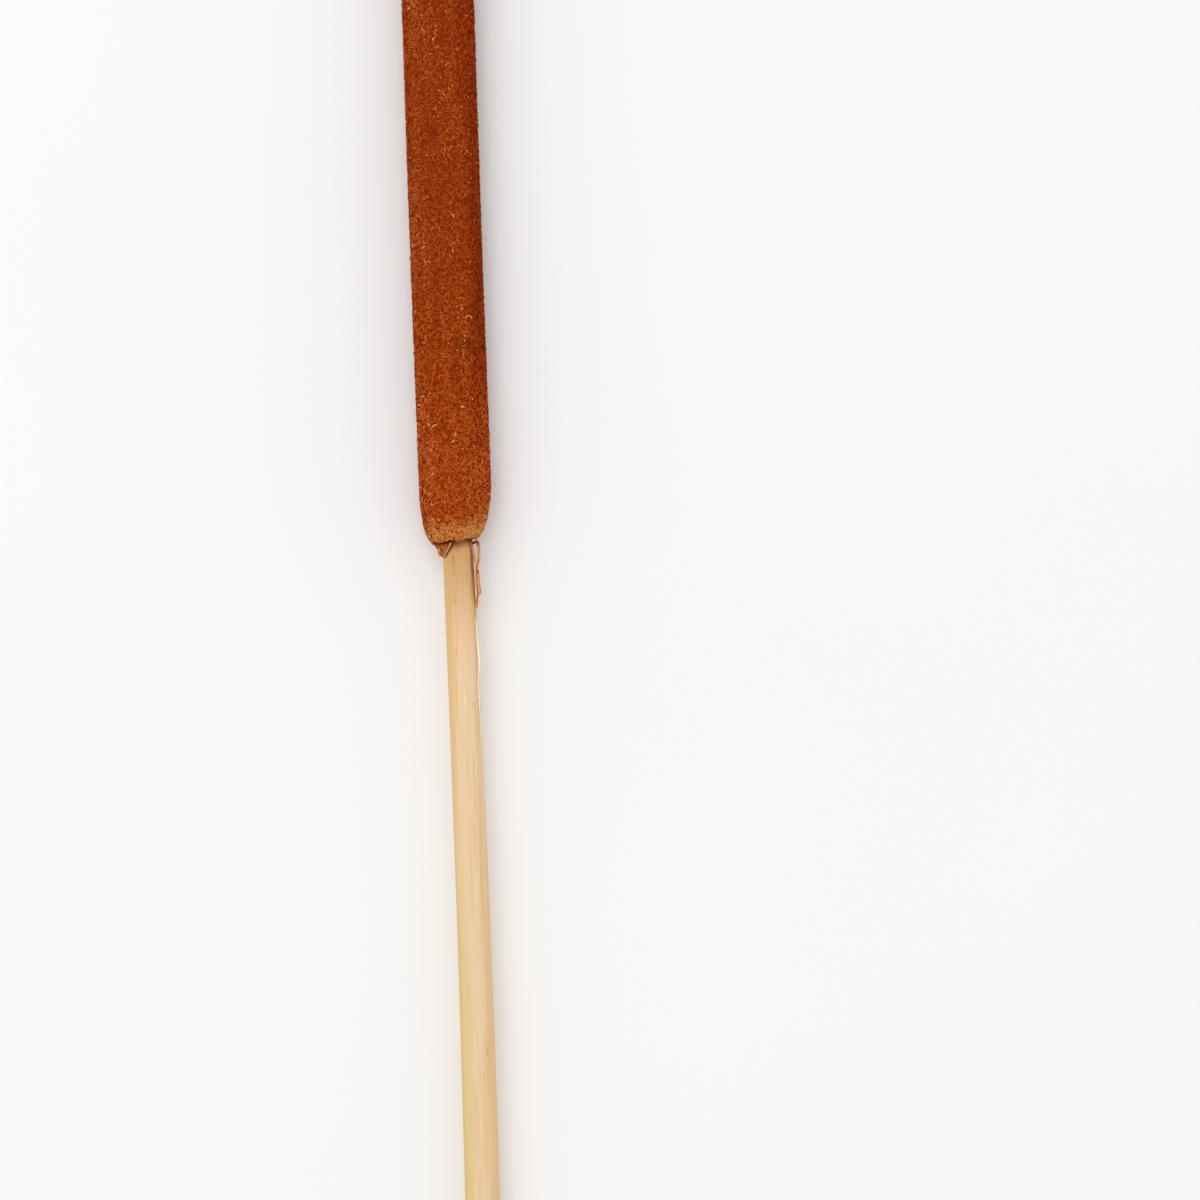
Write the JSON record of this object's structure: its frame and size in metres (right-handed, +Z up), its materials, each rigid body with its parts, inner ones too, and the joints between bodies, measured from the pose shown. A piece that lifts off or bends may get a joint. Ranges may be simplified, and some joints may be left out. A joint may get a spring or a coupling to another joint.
{
  "type": "cattail stalk",
  "caption": "Cut, dried cattail stalk lying on its side: a long felt-like brown seed head on a straight pale stem, with a bare spike at the tip and torn bract scraps at the head's base.",
  "frame": {"origin": "bottom centre of the whole stalk: the middle of its width and length, on the surface that it rests on", "axes": "+Z up; +Y along the stalk from the cut end to the tip; +X to the right seen from above with the tip away from the viewer"},
  "size_m": [0.019, 0.7, 0.0182],
  "materials": {
    "stem": "dry pale cream-tan straw, satin, with fine lengthwise streaks, a faint green tinge low down and small brown specks",
    "seed_head": "matt rust-brown felt of short curly fibres, darker in its pits, sandy tan at the lower rim",
    "top_spike": "dry matt brown, rough with small scars",
    "bract_flap": "thin dry papery bract, rust-tan with a pale rim",
    "bract_shred": "thin dry papery strand, pale peach-tan"
  },
  "bodies": {
    "root": {"stem": "stem", "seed_head": "seed_head", "top_spike": "top_spike", "bract_flap": "bract_flap", "bract_shred": "bract_shred"}
  },
  "joints": []
}
